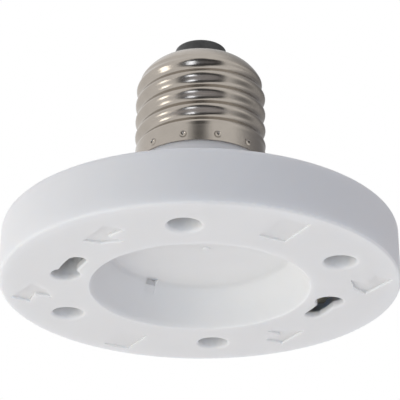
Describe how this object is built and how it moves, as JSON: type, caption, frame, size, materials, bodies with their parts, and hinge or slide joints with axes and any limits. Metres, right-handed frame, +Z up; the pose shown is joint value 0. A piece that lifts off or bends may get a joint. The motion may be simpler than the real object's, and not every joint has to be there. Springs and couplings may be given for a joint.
{
  "type": "lamp socket adapter",
  "caption": "Lamp adapter with a screw cap on a round white disc whose face takes a flat lamp with twist-lock pins.",
  "frame": {"origin": "centre of the flat front face, which takes the lamp and looks down", "axes": "+Z up along the screw cap, from the face to the centre contact; the keyholes lie close to the X axis"},
  "size_m": [0.078, 0.078, 0.0536],
  "materials": {
    "white_moulding": "satin moulded",
    "plated_cap": "nickel-plated rolled sheet",
    "black_insulator": "moulded",
    "contact_metal": "tinned",
    "spring_metal": "aged bronze strip",
    "screw_metal": "zinc-plated",
    "wire_cover": "heat-proof wire cover"
  },
  "bodies": {
    "root": {"front_shell": "white_moulding", "back_cover": "white_moulding", "screw_shell": "plated_cap", "cap_insulator": "black_insulator", "centre_contact": "contact_metal", "contact_spring_live": "spring_metal", "contact_spring_neutral": "spring_metal", "wire_lug_live": "contact_metal", "wire_lug_neutral": "contact_metal", "contact_screws": "screw_metal", "housing_screws": "screw_metal", "wire_live": "wire_cover", "wire_neutral": "wire_cover"}
  },
  "joints": []
}
